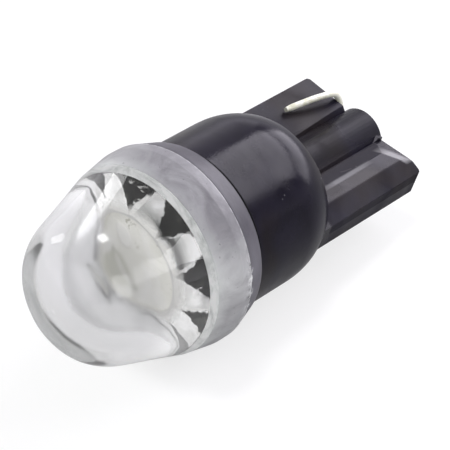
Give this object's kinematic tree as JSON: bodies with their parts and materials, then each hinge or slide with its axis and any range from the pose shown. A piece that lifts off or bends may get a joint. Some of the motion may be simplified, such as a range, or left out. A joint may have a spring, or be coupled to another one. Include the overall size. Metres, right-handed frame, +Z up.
{
  "type": "parking light bulb",
  "caption": "Wedge-base parking light bulb: clear domed lens with a frosted collar, faceted reflector and lamp chip on a black moulded base with folded contact wires.",
  "frame": {"origin": "middle of the bulb's footprint, on the table that it lies on", "axes": "+Z up; the bulb lies along Y with its lens towards -Y and its wedge towards +Y, the wedge's end dipping by about 7 degrees; +X across it"},
  "size_m": [0.0122, 0.0276, 0.0122],
  "materials": {
    "base_plastic": "satin",
    "lens_clear": "gloss",
    "adhesive_clear": "gloss",
    "reflector_bright": "polished",
    "board_white": "satin",
    "package_white": "matte",
    "gel_cream": "satin",
    "die_grey": "satin",
    "terminal_metal": "satin",
    "rectifier_black": "matte",
    "resistor_black": "satin",
    "capacitor_tan": "satin",
    "wire_tinned": "satin",
    "solder_grey": "satin"
  },
  "bodies": {
    "root": {"wedge_base": "base_plastic", "lens": "lens_clear", "adhesive_ring": "adhesive_clear", "reflector": "reflector_bright", "circuit_board": "board_white", "led_housing": "package_white", "led_gel": "gel_cream", "led_die": "die_grey", "led_terminal_left": "terminal_metal", "led_terminal_right": "terminal_metal", "bridge_rectifier": "rectifier_black", "rectifier_leads": "terminal_metal", "resistor_left": "resistor_black", "resistor_right": "resistor_black", "capacitor": "capacitor_tan", "protection_diode": "rectifier_black", "contact_wire_left": "wire_tinned", "contact_wire_right": "wire_tinned", "solder_joint_left": "solder_grey", "solder_joint_right": "solder_grey"}
  },
  "joints": []
}
